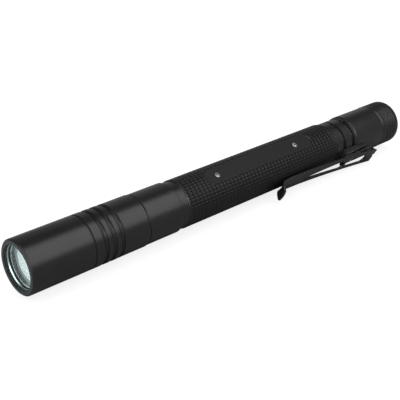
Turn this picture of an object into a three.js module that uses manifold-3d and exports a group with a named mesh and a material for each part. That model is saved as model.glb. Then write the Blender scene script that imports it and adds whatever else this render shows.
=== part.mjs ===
// Slim two-cell inspection flashlight, lying on its side. Millimetres.
// It is built along +X from the lamp end to the tail end, with +Z up.
// Angles round the axis count from straight up toward -Y.
import * as THREE from 'three';
import { mergeVertices } from 'three/addons/utils/BufferGeometryUtils.js';
import Module from 'manifold-3d';

const wasm = await Module();
wasm.setup();

// Gaps between pieces
const seatGap = 0.05;
const fitGap = 0.1;
const jointGap = 0.15;
const sealEase = 0.05;

// Battery cells, which set the bore and the length of the body
const cellLength = 44.5;
const cellRadius = 5.1;
const cellPlay = 0.15;
const nubLength = 0.9;
const nubRadius = 1.9;
const cellSetback = 0.55;

// Outer diameters, as steps from the gripped barrel
const barrelWall = 1.55;
const headRise = 0.355;
const headRearDrop = 0.05;
const collarRise = 0.16;
const neckDrop = 0.28;
const tailDrop = 0.046;
const tailLandDrop = 0.36;
const tailNeckDrop = 0.5;
const endRise = 0.02;
const edgeBreak = 0.2;

// Lamp end
const headWall = 0.9;
const lipChamferDepth = 0.6;
const lipChamferRise = 0.7;
const lipFlat = 0.5;
const funnelDrop = 0.35;
const funnelDepth = 1.2;
const lipDepth = 1.5;
const gasketThickness = 0.5;
const lensThickness = 1.3;
const reflectorLength = 9;
const reflectorRim = 0.75;
const reflectorWall = 0.6;
const flangeThickness = 0.8;
const emitterHole = 2.1;
const spacerThickness = 0.95;
const spacerWall = 1.4;
const emitterWidth = 2.6;
const emitterHeight = 0.6;
const emitterDome = 1.05;
const ledBoardThickness = 1.2;
const sinkLength = 10.6;
const sinkFloor = 3;
const sinkWall = 0.65;
const sinkLedge = 0.5;
const driverThickness = 1.2;
const driverInset = 1.7;
const contactRadius = 1.4;
const contactBase = 2.2;
const contactBaseThickness = 0.4;

// Rings turned into the head
const markLineStation = 18.05;
const markLineWidth = 0.3;
const markLineDepth = 0.12;
const headGrooveStation = 21.2;
const headGroovePitch = 2.5;
const headGrooveCount = 3;
const headGrooveWidth = 0.9;
const headGrooveDepth = 0.4;
const grooveBevel = 0.12;

// Body tube
const noseLength = 9.65;
const sealLandLength = 4.8;
const sealWall = 0.6;
const sealWidth = 1.1;
const sealDepth = 0.5;
const collarLength = 10.95;
const neckLength = 2.5;
const cellOverhang = 6.9;
const socketWall = 0.75;

// Flat plate on the barrel
const plateAngle = 27;
const plateDrop = 0.47;
const plateThickness = 0.45;
const plateFront = 8.75;
const plateRear = 1.2;
const plateScrewFront = 4.3;
const plateScrewRear = 6.7;
const plateScrewRadius = 0.5;
const plateScrewHead = 0.86;
const plateScrewHeight = 0.32;

// Tail cap
const spigotLength = 7.6;
const spigotWall = 0.7;
const rearSealWidth = 0.9;
const rearSealDepth = 0.35;
const tailNeckLength = 0.55;
const tailGrooveStation = 3.9;
const tailGroovePitch = 4.15;
const tailGrooveWidth = 1.05;
const tailGrooveDepth = 0.6;
const tailLandLength = 9.75;
const tailWall = 1;
const springLength = 5;
const springWire = 0.3;
const springCurls = 4;
const contactPlateThickness = 0.5;
const switchBoss = 0.85;
const switchLength = 6.05;
const plungerRadius = 1.6;
const plungerLength = 3.5;
const plungerInside = 2.1;
const buttonTravel = 1.2;
const travelSpare = 0.25;
const buttonFlange = 0.85;
const buttonRadius = 4.3;
const buttonSkin = 1;
const buttonSunk = 0.45;
const buttonDome = 0.7;
const endSpigot = 1.9;
const endLength = 7.65;
const endRound = 1.1;
const endRidgeCount = 6;
const endRidgePitch = 0.75;
const endRidgeStation = 1.4;
const endRidgeWidth = 0.36;
const endRidgeDepth = 0.14;

// Pocket clip
const clipAngle = 120.5;
const clipThickness = 0.55;
const clipHalfWidth = 2.9;
const clipBendHalf = 2.75;
const clipFootHalf = 1.9;
const clipGap = 0.55;
const clipArch = 0.8;
const clipRise = 2.5;
const clipBendStation = 16.45;
const clipFootLength = 12.6;
const clipReach = 38.7;
const clipTipReach = 4.7;
const clipTipRise = 2.5;
const clipTipRound = 2.2;
const clipSplit = 6.5;
const padRise = 0.6;
const padHalfWidth = 2.8;
const padSetback = 2.35;
const padLength = 17.6;
const padRound = 2.6;
const clipScrewStation = 6.65;
const clipScrewPitch = 4;
const clipScrewRadius = 0.75;
const clipScrewHead = 1.3;
const clipScrewHeight = 0.42;
const clipScrewDepth = 1.7;
const slotFront = 30;
const slotRear = 15;
const slotFrontHalf = 0.35;
const slotRearHalf = 1.55;
const windowFront = 13.2;
const windowRear = 4.4;
const windowHalf = 1.6;

// Radii that follow from the sizes above
const boreRadius = cellRadius + cellPlay;
const gripRadius = boreRadius + barrelWall;
const headRadius = gripRadius + headRise;
const collarRadius = gripRadius + collarRise;
const tailRadius = gripRadius - tailDrop;
const headBore = headRadius - headWall;
const noseRadius = headBore - fitGap;
const sealBore = headRadius - sealWall;
const sealLand = sealBore - fitGap;
const funnelRadius = headRadius - lipChamferRise - lipFlat;
const lipRadius = funnelRadius - funnelDrop;
const spigotRadius = boreRadius + spigotWall;
const socketRadius = gripRadius - socketWall;
const switchBore = tailRadius - tailWall;
const switchRadius = switchBore - fitGap;
const endRadius = gripRadius + endRise;
const padTop = tailRadius + padRise;

// Stations along the axis, from the lamp end
const gasketStart = lipDepth + seatGap;
const lensStart = gasketStart + gasketThickness + seatGap;
const reflectorStart = lensStart + lensThickness + seatGap;
const spacerStart = reflectorStart + reflectorLength + seatGap;
const ledBoardStart = spacerStart + spacerThickness + seatGap;
const sinkStart = ledBoardStart + ledBoardThickness + seatGap;
const sinkEnd = sinkStart + sinkLength;
const tubeStart = sinkEnd + seatGap;
const collarStart = tubeStart + noseLength;
const headEnd = collarStart - jointGap;
const collarEnd = collarStart + collarLength;
const gripStart = collarEnd + neckLength;
const frontCellStart = tubeStart + cellSetback;
const rearCellStart = frontCellStart + cellLength + seatGap;
const cellEnd = rearCellStart + cellLength;
const gripEnd = cellEnd - cellOverhang;
const capStart = gripEnd + jointGap;
const spigotStart = capStart - spigotLength;
const springStart = cellEnd + seatGap;
const contactPlateStart = springStart + springLength + seatGap;
const switchBossStart = contactPlateStart + contactPlateThickness + seatGap;
const switchStart = switchBossStart + switchBoss;
const switchEnd = switchStart + switchLength;
const buttonStart = switchEnd + buttonTravel + travelSpare;
const endStart = buttonStart + buttonFlange + seatGap + endSpigot;
const tailEnd = endStart - jointGap;
const endEnd = endStart + endLength;

// Number of flats round a turned piece
const turnedSides = 36;
const innerSides = 20;
const smallSides = 12;

// Turns a geometry into a closed solid that faces outward.
function solid(geometry) {
  geometry.deleteAttribute('normal');
  geometry.deleteAttribute('uv');
  const merged = mergeVertices(geometry, 1e-4);
  const place = merged.attributes.position;
  const corners = [0, 1, 2].map(() => new THREE.Vector3());
  const triangles = [];
  let volume = 0;
  for (let i = 0; i < merged.index.count; i += 3) {
    const [a, b, c] = [0, 1, 2].map((k) => merged.index.getX(i + k));
    if (a === b || b === c || c === a) continue;
    triangles.push([a, b, c]);
    [a, b, c].forEach((v, k) => corners[k].fromBufferAttribute(place, v));
    volume += corners[0].dot(corners[1].clone().cross(corners[2]));
  }
  if (volume < 0) triangles.forEach((t) => t.reverse());
  const vertProperties = new Float32Array(place.array);
  const triVerts = new Uint32Array(triangles.flat());
  return new wasm.Manifold(new wasm.Mesh({ numProp: 3, vertProperties, triVerts }));
}

// Turns a finished solid back into a geometry with crisp faces.
function geometryOf(shape) {
  const mesh = shape.getMesh();
  const geometry = new THREE.BufferGeometry();
  geometry.setAttribute('position', new THREE.BufferAttribute(new Float32Array(mesh.vertProperties), 3));
  geometry.setIndex(new THREE.BufferAttribute(new Uint32Array(mesh.triVerts), 1));
  geometry.computeVertexNormals();
  return geometry;
}

// A profile of [station, radius] points turned round the long axis.
function turned(profile, sides = turnedSides) {
  const points = profile.map(([station, radius]) => new THREE.Vector2(radius, station));
  const first = points[0];
  const last = points[points.length - 1];
  if (first.x > 0 || last.x > 0) points.push(first.clone());
  return solid(new THREE.LatheGeometry(points, sides).rotateZ(-Math.PI / 2));
}

// A plain turned disc or rod.
function rod(start, end, radius, sides = innerSides) {
  return turned([[start, 0], [start, radius], [end, radius], [end, 0]], sides);
}

// A ring of rectangular section.
function ring(start, end, inner, outer) {
  return turned([[start, inner], [start, outer], [end, outer], [end, inner]], innerSides);
}

// A round-section ring in a groove.
function sealRing(station, middle, thickness) {
  const torus = new THREE.TorusGeometry(middle, thickness, 8, innerSides);
  return solid(torus.rotateY(Math.PI / 2).translate(station, 0, 0));
}

// The four profile points of one turned groove.
function groove(station, width, depth, radius) {
  const half = width / 2;
  return [
    [station - half, radius],
    [station - half + grooveBevel, radius - depth],
    [station + half - grooveBevel, radius - depth],
    [station + half, radius],
  ];
}

// The same groove repeated at an even pitch.
function grooves(count, station, pitch, width, depth, radius) {
  const points = [];
  for (let i = 0; i < count; i++) points.push(...groove(station + i * pitch, width, depth, radius));
  return points;
}

// A plan outline in station and width, raised between two distances from the axis.
function raised(shape, low, high, angle) {
  const options = { depth: high - low, bevelEnabled: false, curveSegments: 10 };
  const geometry = new THREE.ExtrudeGeometry(shape, options);
  return solid(geometry.translate(0, 0, low).rotateX(THREE.MathUtils.degToRad(angle)));
}

// A long outline with round ends, which may differ in half width.
function slotOutline(start, end, startHalf, endHalf) {
  const shape = new THREE.Shape();
  shape.absarc(end - endHalf, 0, endHalf, -Math.PI / 2, Math.PI / 2);
  shape.absarc(start + startHalf, 0, startHalf, Math.PI / 2, 1.5 * Math.PI);
  shape.closePath();
  return shape;
}

// A turned piece that stands out from the axis, as [distance from axis, radius] points.
function upright(station, profile, angle) {
  const points = profile.map(([height, radius]) => new THREE.Vector2(radius, height));
  const geometry = new THREE.LatheGeometry(points, smallSides).rotateX(Math.PI / 2);
  return solid(geometry.translate(station, 0, 0).rotateX(THREE.MathUtils.degToRad(angle)));
}

// A round hole that points at the axis.
function hole(station, low, high, radius, angle) {
  return upright(station, [[low, 0], [low, radius], [high, radius], [high, 0]], angle);
}

// A low round-headed screw seated on a flat.
function screw(station, seat, headRadiusValue, headHeight, shankRadius, depth, angle) {
  const low = seat - depth;
  const top = seat + headHeight;
  return upright(station, [
    [low, 0],
    [low, shankRadius - 0.1],
    [low + 0.1, shankRadius],
    [seat, shankRadius],
    [seat, headRadiusValue],
    [seat + headHeight * 0.45, headRadiusValue],
    [seat + headHeight * 0.85, headRadiusValue * 0.72],
    [top, headRadiusValue * 0.35],
    [top, 0],
  ], angle);
}

// Lamp end
function makeHeadShell() {
  const lastGroove = headGrooveStation + (headGrooveCount - 1) * headGroovePitch;
  const cut = [headGroovePitch, headGrooveWidth, headGrooveDepth, headRadius];
  const headGrooves = grooves(headGrooveCount, headGrooveStation, ...cut);
  const rearRadius = headRadius - headRearDrop;
  const sealStart = collarStart - sealLandLength;
  return turned([
    [0, funnelRadius],
    [0, funnelRadius + lipFlat],
    [lipChamferDepth, headRadius],
    ...groove(markLineStation, markLineWidth, markLineDepth, headRadius),
    ...headGrooves,
    [lastGroove + headGrooveWidth, rearRadius],
    [headEnd - edgeBreak, rearRadius],
    [headEnd, rearRadius - edgeBreak],
    [headEnd, sealBore],
    [sealStart, sealBore],
    [sealStart, headBore],
    [lipDepth, headBore],
    [lipDepth, lipRadius],
    [funnelDepth, lipRadius],
  ]);
}

// The bowl follows a parabola from the emitter hole to the rim.
function makeReflector() {
  const front = reflectorStart;
  const rear = reflectorStart + reflectorLength;
  const rimRadius = lipRadius - reflectorRim;
  const outer = headBore - fitGap;
  const steps = 7;
  const bowl = [];
  const back = [];
  for (let i = 0; i <= steps; i++) {
    const radius = emitterHole + (rimRadius - emitterHole) * (i / steps);
    const square = (radius ** 2 - emitterHole ** 2) / (rimRadius ** 2 - emitterHole ** 2);
    bowl.push([rear - reflectorLength * square, radius]);
    const station = rear - (reflectorLength - flangeThickness) * square;
    if (i > 0) back.push([station, radius + reflectorWall]);
  }
  return turned([
    ...bowl,
    [front, outer],
    [front + flangeThickness, outer],
    ...back.reverse(),
    [rear, emitterHole + reflectorWall],
  ], innerSides);
}

function makeEmitter() {
  const base = ledBoardStart - seatGap;
  const block = new THREE.BoxGeometry(emitterHeight, emitterWidth, emitterWidth);
  const dome = [];
  const steps = 6;
  for (let i = 0; i <= steps; i++) {
    const turn = (Math.PI / 2) * (i / steps);
    dome.push([base - emitterHeight - emitterDome * Math.cos(turn) * 0.9, emitterDome * Math.sin(turn)]);
  }
  dome.push([base - emitterHeight / 2, emitterDome], [base - emitterHeight / 2, 0]);
  const cover = turned(dome, smallSides);
  return solid(block.translate(base - emitterHeight / 2, 0, 0)).add(cover);
}

function makeSink() {
  const outer = headBore - fitGap;
  const ledge = outer - sinkWall;
  const driverStart = sinkEnd - driverInset - driverThickness;
  return turned([
    [sinkStart, 0],
    [sinkStart, outer],
    [sinkEnd, outer],
    [sinkEnd, ledge],
    [driverStart - seatGap, ledge],
    [driverStart - seatGap, ledge - sinkLedge],
    [sinkStart + sinkFloor, ledge - sinkLedge],
    [sinkStart + sinkFloor, 0],
  ], innerSides);
}

function makeFrontContact() {
  const start = sinkEnd - driverInset + seatGap;
  const end = frontCellStart - seatGap;
  return turned([
    [start, 0],
    [start, contactBase],
    [start + contactBaseThickness, contactBase],
    [start + contactBaseThickness, contactRadius],
    [end - 0.3, contactRadius],
    [end, contactRadius - 0.3],
    [end, 0],
  ], smallSides);
}

// Body tube with its milled seat for the plate
const sealStation = collarStart - sealLandLength / 2 + sealWidth / 2;
const plateStart = gripStart + plateFront;
const plateEnd = spigotStart - fitGap - plateRear;
const plateTop = gripRadius - plateDrop;
const plateSeat = plateTop - plateThickness - seatGap;
const plateHalf = Math.sqrt(gripRadius ** 2 - plateTop ** 2);
const plateScrews = [plateStart + plateScrewFront, plateEnd - plateScrewRear];

function makeBodyTube() {
  const sealStart = collarStart - sealLandLength + edgeBreak;
  const neckRadius = gripRadius - neckDrop;
  const tube = turned([
    [tubeStart, boreRadius],
    [tubeStart, noseRadius - edgeBreak],
    [tubeStart + edgeBreak, noseRadius],
    [sealStart, noseRadius],
    [sealStart + edgeBreak, sealLand],
    [sealStation - sealWidth / 2, sealLand],
    [sealStation - sealWidth / 2, sealLand - sealDepth],
    [sealStation + sealWidth / 2, sealLand - sealDepth],
    [sealStation + sealWidth / 2, sealLand],
    [collarStart, sealLand],
    [collarStart, collarRadius - edgeBreak],
    [collarStart + edgeBreak, collarRadius],
    [collarEnd - edgeBreak, collarRadius],
    [collarEnd, collarRadius - edgeBreak],
    [collarEnd, neckRadius],
    [gripStart, neckRadius],
    [gripStart, gripRadius - edgeBreak],
    [gripStart + edgeBreak, gripRadius],
    [gripEnd - edgeBreak, gripRadius],
    [gripEnd, gripRadius - edgeBreak],
    [gripEnd, socketRadius],
    [spigotStart - fitGap, socketRadius],
    [spigotStart - fitGap, boreRadius],
  ]);
  const outline = slotOutline(plateStart, plateEnd, plateHalf, plateHalf);
  let cut = tube.subtract(raised(outline, plateSeat, gripRadius + 1, plateAngle));
  for (const station of plateScrews) {
    cut = cut.subtract(hole(station, boreRadius - 1, gripRadius, plateScrewRadius + seatGap, plateAngle));
  }
  return cut;
}

function makePlate() {
  const half = plateHalf - seatGap;
  const outline = slotOutline(plateStart + seatGap, plateEnd - seatGap, half, half);
  let plate = raised(outline, plateSeat + seatGap, plateTop, plateAngle);
  for (const station of plateScrews) {
    plate = plate.subtract(hole(station, boreRadius, gripRadius, plateScrewRadius + seatGap, plateAngle));
  }
  return plate;
}

function makePlateScrew(station) {
  const depth = plateTop - boreRadius;
  const seat = plateTop + seatGap / 2;
  return screw(station, seat, plateScrewHead, plateScrewHeight, plateScrewRadius, depth, plateAngle);
}

// A cell with its raised positive end toward the lamp.
function makeCell(start) {
  const end = start + cellLength;
  return turned([
    [start, 0],
    [start, nubRadius - 0.2],
    [start + 0.2, nubRadius],
    [start + nubLength, nubRadius],
    [start + nubLength, cellRadius - 0.6],
    [start + nubLength + 0.6, cellRadius],
    [end - 0.5, cellRadius],
    [end, cellRadius - 0.5],
    [end, 0],
  ], innerSides);
}

// Tail cap with the pad that carries the clip
const rearSealStation = capStart - rearSealWidth;
const clipBend = capStart + clipBendStation;
const clipScrews = [0, 1].map((i) => capStart + clipScrewStation + i * clipScrewPitch);

function makeTailCap() {
  const landRadius = gripRadius - tailLandDrop;
  const neckRadius = gripRadius - tailNeckDrop;
  const firstGroove = capStart + tailGrooveStation;
  const outside = turned([
    [spigotStart, 0],
    [spigotStart, spigotRadius - edgeBreak],
    [spigotStart + edgeBreak, spigotRadius],
    [rearSealStation - rearSealWidth / 2, spigotRadius],
    [rearSealStation - rearSealWidth / 2, spigotRadius - rearSealDepth],
    [rearSealStation + rearSealWidth / 2, spigotRadius - rearSealDepth],
    [rearSealStation + rearSealWidth / 2, spigotRadius],
    [capStart, spigotRadius],
    [capStart, neckRadius],
    [capStart + tailNeckLength, neckRadius],
    [capStart + tailNeckLength, landRadius],
    ...grooves(2, firstGroove, tailGroovePitch, tailGrooveWidth, tailGrooveDepth, landRadius),
    [capStart + tailLandLength - edgeBreak, landRadius],
    [capStart + tailLandLength, tailRadius],
    [tailEnd - edgeBreak, tailRadius],
    [tailEnd, tailRadius - edgeBreak],
    [tailEnd, 0],
  ]);
  const pad = new THREE.Shape();
  const padEnd = tailEnd - padSetback;
  const padStart = padEnd - padLength;
  const straight = padHalfWidth - padRound;
  pad.moveTo(padStart, -padHalfWidth);
  pad.absarc(padEnd - padRound, -straight, padRound, -Math.PI / 2, 0);
  pad.absarc(padEnd - padRound, straight, padRound, 0, Math.PI / 2);
  pad.lineTo(padStart, padHalfWidth);
  pad.closePath();
  const inside = turned([
    [spigotStart - 1, 0],
    [spigotStart - 1, boreRadius],
    [switchStart - seatGap, boreRadius],
    [switchStart - seatGap, switchBore],
    [tailEnd + 1, switchBore],
    [tailEnd + 1, 0],
  ]);
  let cap = outside.add(raised(pad, boreRadius / 2, padTop, clipAngle)).subtract(inside);
  for (const station of clipScrews) {
    const low = padTop - clipScrewDepth;
    cap = cap.subtract(hole(station, low, padTop + 1, clipScrewRadius + seatGap, clipAngle));
  }
  return cap;
}

// The clip is one bent strip. Its middle line runs back along the foot,
// round the bend and forward along the arm to a lifted tip.
const footMiddle = padTop + seatGap + clipThickness / 2;
const bendRadius = clipRise / 2;
const bendMiddle = footMiddle + bendRadius;
const armLow = gripRadius + clipGap + clipThickness / 2 + 0.22;
const armSlope = 0.1;

// Points of the middle line with the outward normal, the arch and the half width.
function bendLine(from, to, steps) {
  const line = [];
  for (let i = 0; i <= steps; i++) {
    const turn = THREE.MathUtils.degToRad(from + (to - from) * (i / steps));
    const normal = new THREE.Vector2(Math.cos(turn), Math.sin(turn));
    const point = new THREE.Vector2(clipBend, bendMiddle).addScaledVector(normal, bendRadius);
    const share = (turn + Math.PI / 2) / Math.PI;
    const half = clipFootHalf + (clipBendHalf - clipFootHalf) * share;
    line.push({ point, normal, arch: 0, half });
  }
  return line;
}

function curveLine(curve, steps, archOf, halfOf) {
  const line = [];
  for (let i = 1; i <= steps; i++) {
    const t = i / steps;
    const along = curve.getTangent(t);
    const normal = new THREE.Vector2(along.y, -along.x);
    line.push({ point: curve.getPoint(t), normal, arch: archOf(t), half: halfOf(t) });
  }
  return line;
}

// Skins a strip of even thickness over a middle line. Across its width the
// strip arches round the barrel by the curvature given at each point.
function strip(line) {
  const across = 6;
  const positions = [];
  const index = [];
  const rowLength = 2 * (across + 1);
  for (const { point, normal, arch, half } of line) {
    for (const side of [1, -1]) {
      for (let k = 0; k <= across; k++) {
        const v = half * side * (2 * (k / across) - 1);
        const turn = v * arch;
        const drop = arch > 0 ? (1 - Math.cos(turn)) / arch : 0;
        const sideways = arch > 0 ? Math.sin(turn) / arch : v;
        const lift = (side * clipThickness * Math.cos(turn)) / 2 - drop;
        const width = sideways + (side * clipThickness * Math.sin(turn)) / 2;
        positions.push(point.x + normal.x * lift, width, point.y + normal.y * lift);
      }
    }
  }
  for (let i = 0; i + 1 < line.length; i++) {
    for (let k = 0; k < rowLength; k++) {
      const a = i * rowLength + k;
      const b = i * rowLength + ((k + 1) % rowLength);
      index.push(a, b, a + rowLength, b, b + rowLength, a + rowLength);
    }
  }
  for (const [row, flip] of [[0, false], [line.length - 1, true]]) {
    const base = row * rowLength;
    for (let k = 0; k < across; k++) {
      const quad = [base + k, base + k + 1, base + rowLength - 2 - k, base + rowLength - 1 - k];
      const [a, b, c, d] = flip ? quad : quad.reverse();
      index.push(a, b, c, a, c, d);
    }
  }
  const geometry = new THREE.BufferGeometry();
  geometry.setAttribute('position', new THREE.BufferAttribute(new Float32Array(positions), 3));
  geometry.setIndex(index);
  return solid(geometry.rotateX(THREE.MathUtils.degToRad(clipAngle)));
}

function makeClipFoot() {
  const normal = new THREE.Vector2(0, -1);
  const front = new THREE.Vector2(clipBend - clipFootLength, footMiddle);
  const line = [{ point: front, normal, arch: 0, half: clipFootHalf }];
  let foot = strip([...line, ...bendLine(-90, -clipSplit / 2, 7)]);
  for (const station of clipScrews) {
    foot = foot.subtract(hole(station, padTop - 1, padTop + 2, clipScrewRadius + seatGap, clipAngle));
  }
  return foot;
}

function makeClipArm() {
  const arch = 1 / (gripRadius + clipArch);
  const lean = 90 - THREE.MathUtils.radToDeg(Math.atan(armSlope));
  const bend = bendLine(clipSplit / 2, lean, 7);
  const start = bend[bend.length - 1].point;
  const low = new THREE.Vector2(clipBend - clipReach, armLow);
  const bow = new THREE.Vector2(start.x - (start.y - armLow - 0.18) / armSlope, armLow + 0.18);
  const arm = new THREE.QuadraticBezierCurve(start, bow, low);
  const tip = new THREE.Vector2(low.x - clipTipReach, armLow + clipTipRise);
  const toe = new THREE.Vector2(low.x - clipTipReach * 0.45, armLow - 0.05);
  const flare = new THREE.QuadraticBezierCurve(low, toe, tip);
  const flareLength = flare.getLength();
  const archOf = (t) => arch * Math.min(1, t * 1.25);
  const armHalf = (t) => clipBendHalf + (clipHalfWidth - clipBendHalf) * Math.min(1, t * 2);
  const tipHalf = (t) => {
    const into = Math.max(0, clipTipRound - flareLength * (1 - t)) / clipTipRound;
    return clipHalfWidth - clipTipRound * 0.75 * (1 - Math.sqrt(1 - Math.min(1, into) ** 2));
  };
  const line = [
    ...bend,
    ...curveLine(arm, 18, archOf, armHalf),
    ...curveLine(flare, 12, () => arch, tipHalf),
  ];
  const clear = padTop + seatGap + clipThickness + seatGap;
  const slot = slotOutline(clipBend - slotFront, clipBend - slotRear, slotFrontHalf, slotRearHalf);
  const window = slotOutline(clipBend - windowFront, clipBend - windowRear, windowHalf, windowHalf);
  const above = bendMiddle + bendRadius + 2;
  return strip(line)
    .subtract(raised(slot, boreRadius, above, clipAngle))
    .subtract(raised(window, clear, above, clipAngle));
}

// A tapering wound wire that presses on the rear cell.
class SpringLine extends THREE.Curve {
  getPoint(t) {
    const turn = 2 * Math.PI * springCurls * t;
    const radius = cellRadius * (0.4 + 0.3 * t);
    const station = springStart + springWire + (springLength - 2 * springWire) * t;
    return new THREE.Vector3(station, radius * Math.cos(turn), radius * Math.sin(turn));
  }
}

function makeTailSpring() {
  const wire = new THREE.Shape();
  for (let i = 0; i < 5; i++) {
    const turn = (2 * Math.PI * i) / 5;
    const point = [springWire * Math.cos(turn), springWire * Math.sin(turn)];
    if (i === 0) wire.moveTo(...point);
    else wire.lineTo(...point);
  }
  wire.closePath();
  const options = { steps: springCurls * 10, bevelEnabled: false, extrudePath: new SpringLine() };
  return solid(new THREE.ExtrudeGeometry(wire, options));
}

function makeSwitchBody() {
  const boss = boreRadius - fitGap;
  const bore = plungerRadius + fitGap;
  const floor = switchEnd - plungerInside - buttonTravel - travelSpare;
  return turned([
    [switchBossStart, 0],
    [switchBossStart, boss],
    [switchStart, boss],
    [switchStart, switchRadius],
    [switchEnd, switchRadius],
    [switchEnd, bore],
    [floor, bore],
    [floor, 0],
  ], innerSides);
}

function makeButton() {
  const flangeEnd = buttonStart + buttonFlange;
  const end = endEnd - buttonSunk;
  const shoulder = end - buttonDome;
  const post = plungerRadius + 0.3;
  const hollow = buttonRadius - buttonSkin;
  const points = [];
  const steps = 5;
  for (let i = steps; i >= 0; i--) {
    const turn = (Math.PI / 2) * (i / steps);
    points.push([shoulder + buttonDome * Math.cos(turn), buttonRadius * Math.sin(turn)]);
  }
  return turned([
    [buttonStart, 0],
    [buttonStart, post],
    [shoulder - buttonSkin, post],
    [shoulder - buttonSkin, hollow],
    [buttonStart, hollow],
    [buttonStart, switchRadius - seatGap],
    [flangeEnd, switchRadius - seatGap],
    [flangeEnd, buttonRadius],
    ...points,
  ], innerSides);
}

function makeEndRing() {
  const bore = buttonRadius + fitGap;
  const rim = [];
  const steps = 5;
  for (let i = 0; i <= steps; i++) {
    const turn = (Math.PI / 2) * (i / steps);
    const back = endEnd - endRound + endRound * Math.sin(turn);
    rim.push([back, endRadius - endRound + endRound * Math.cos(turn)]);
  }
  const ridge = endStart + endRidgeStation;
  return turned([
    [endStart - endSpigot, bore],
    [endStart - endSpigot, switchRadius],
    [endStart, switchRadius],
    [endStart, endRadius - edgeBreak],
    [endStart + edgeBreak, endRadius],
    ...grooves(endRidgeCount, ridge, endRidgePitch, endRidgeWidth, endRidgeDepth, endRadius),
    ...rim,
    [endEnd, bore],
  ]);
}

// Finishes
function finish(color, roughness, metalness) {
  return new THREE.MeshStandardMaterial({ color, roughness, metalness });
}

const blackMetal = finish(0x26272a, 0.42, 0.6);
const plateMetal = finish(0x33353a, 0.5, 0.6);
const clipSteel = finish(0x2b2c2e, 0.38, 0.7);
const steel = finish(0xc9ccd0, 0.28, 1);
const brass = finish(0xc8a24a, 0.35, 1);
const mirrorMetal = finish(0xe8ecef, 0.12, 1);
const glass = finish(0xdfeff2, 0.05, 0);
const rubber = finish(0x1d1d1f, 0.8, 0);
const circuit = finish(0x1f5a3a, 0.5, 0.1);
const emitterYellow = finish(0xf0d870, 0.4, 0);
const whitePlastic = finish(0xe9e9e4, 0.55, 0);
const blackPlastic = finish(0x222326, 0.6, 0);
const cellWrap = finish(0x3a6ea8, 0.45, 0.2);

const light = new THREE.Group();
light.name = 'inspection_flashlight';

function place(name, shape, material) {
  const mesh = new THREE.Mesh(geometryOf(shape), material);
  mesh.name = name;
  light.add(mesh);
}

const headFit = headBore - fitGap;
const driverStart = sinkEnd - driverInset - driverThickness;
const sealMiddle = (sealLand - sealDepth + sealBore) / 2;
const sealThickness = (sealBore - sealLand + sealDepth) / 2 - sealEase;
const rearSealInner = spigotRadius - rearSealDepth;
const plungerStart = switchEnd - plungerInside;

place('head_shell', makeHeadShell(), blackMetal);
place('lens_gasket', ring(gasketStart, gasketStart + gasketThickness, lipRadius + fitGap, headFit), rubber);
place('lens', rod(lensStart, lensStart + lensThickness, headFit, turnedSides), glass);
place('reflector', makeReflector(), mirrorMetal);
const spacerEnd = spacerStart + spacerThickness;
place('led_spacer', ring(spacerStart, spacerEnd, emitterHole, emitterHole + spacerWall), whitePlastic);
place('led_emitter', makeEmitter(), emitterYellow);
place('led_board', rod(ledBoardStart, ledBoardStart + ledBoardThickness, headFit - sinkWall), whitePlastic);
place('heat_sink', makeSink(), brass);
place('driver_board', rod(driverStart, driverStart + driverThickness, headFit - sinkWall - fitGap), circuit);
place('front_contact', makeFrontContact(), brass);
place('body_tube', makeBodyTube(), blackMetal);
place('front_seal', sealRing(sealStation, sealMiddle, sealThickness), rubber);
place('side_plate', makePlate(), plateMetal);
place('plate_screw_front', makePlateScrew(plateScrews[0]), steel);
place('plate_screw_rear', makePlateScrew(plateScrews[1]), steel);
place('front_cell', makeCell(frontCellStart), cellWrap);
place('rear_cell', makeCell(rearCellStart), cellWrap);
const rearSealMiddle = (rearSealInner + socketRadius) / 2;
const rearSealThickness = (socketRadius - rearSealInner) / 2 - sealEase;
place('rear_seal', sealRing(rearSealStation, rearSealMiddle, rearSealThickness), rubber);
place('tail_cap', makeTailCap(), blackMetal);
place('clip_foot', makeClipFoot(), clipSteel);
place('pocket_clip', makeClipArm(), clipSteel);
const clipSeat = padTop + seatGap + clipThickness + seatGap / 2;
const clipDepth = clipSeat - padTop + clipScrewDepth - seatGap;
clipScrews.forEach((station, i) => {
  const sizes = [clipScrewHead, clipScrewHeight, clipScrewRadius, clipDepth];
  const shape = screw(station, clipSeat, ...sizes, clipAngle);
  place(['clip_screw_front', 'clip_screw_rear'][i], shape, steel);
});
place('tail_spring', makeTailSpring(), brass);
const contactPlateEnd = contactPlateStart + contactPlateThickness;
place('contact_plate', rod(contactPlateStart, contactPlateEnd, cellRadius * 0.9), brass);
place('switch_body', makeSwitchBody(), blackPlastic);
const plungerEnd = buttonStart - seatGap;
place('switch_plunger', rod(plungerStart, plungerEnd, plungerRadius, smallSides), whitePlastic);
place('tail_button', makeButton(), rubber);
place('end_ring', makeEndRing(), blackMetal);

// The origin is under the middle of the whole light, on the surface it lies on.
const box = new THREE.Box3().setFromObject(light);
const middle = box.getCenter(new THREE.Vector3());
light.position.set(-middle.x, -middle.y, -box.min.z);
light.updateMatrixWorld(true);

export default light;
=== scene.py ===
import math

import bmesh
import bpy
import numpy as np
from mathutils import Matrix, Vector


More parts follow.
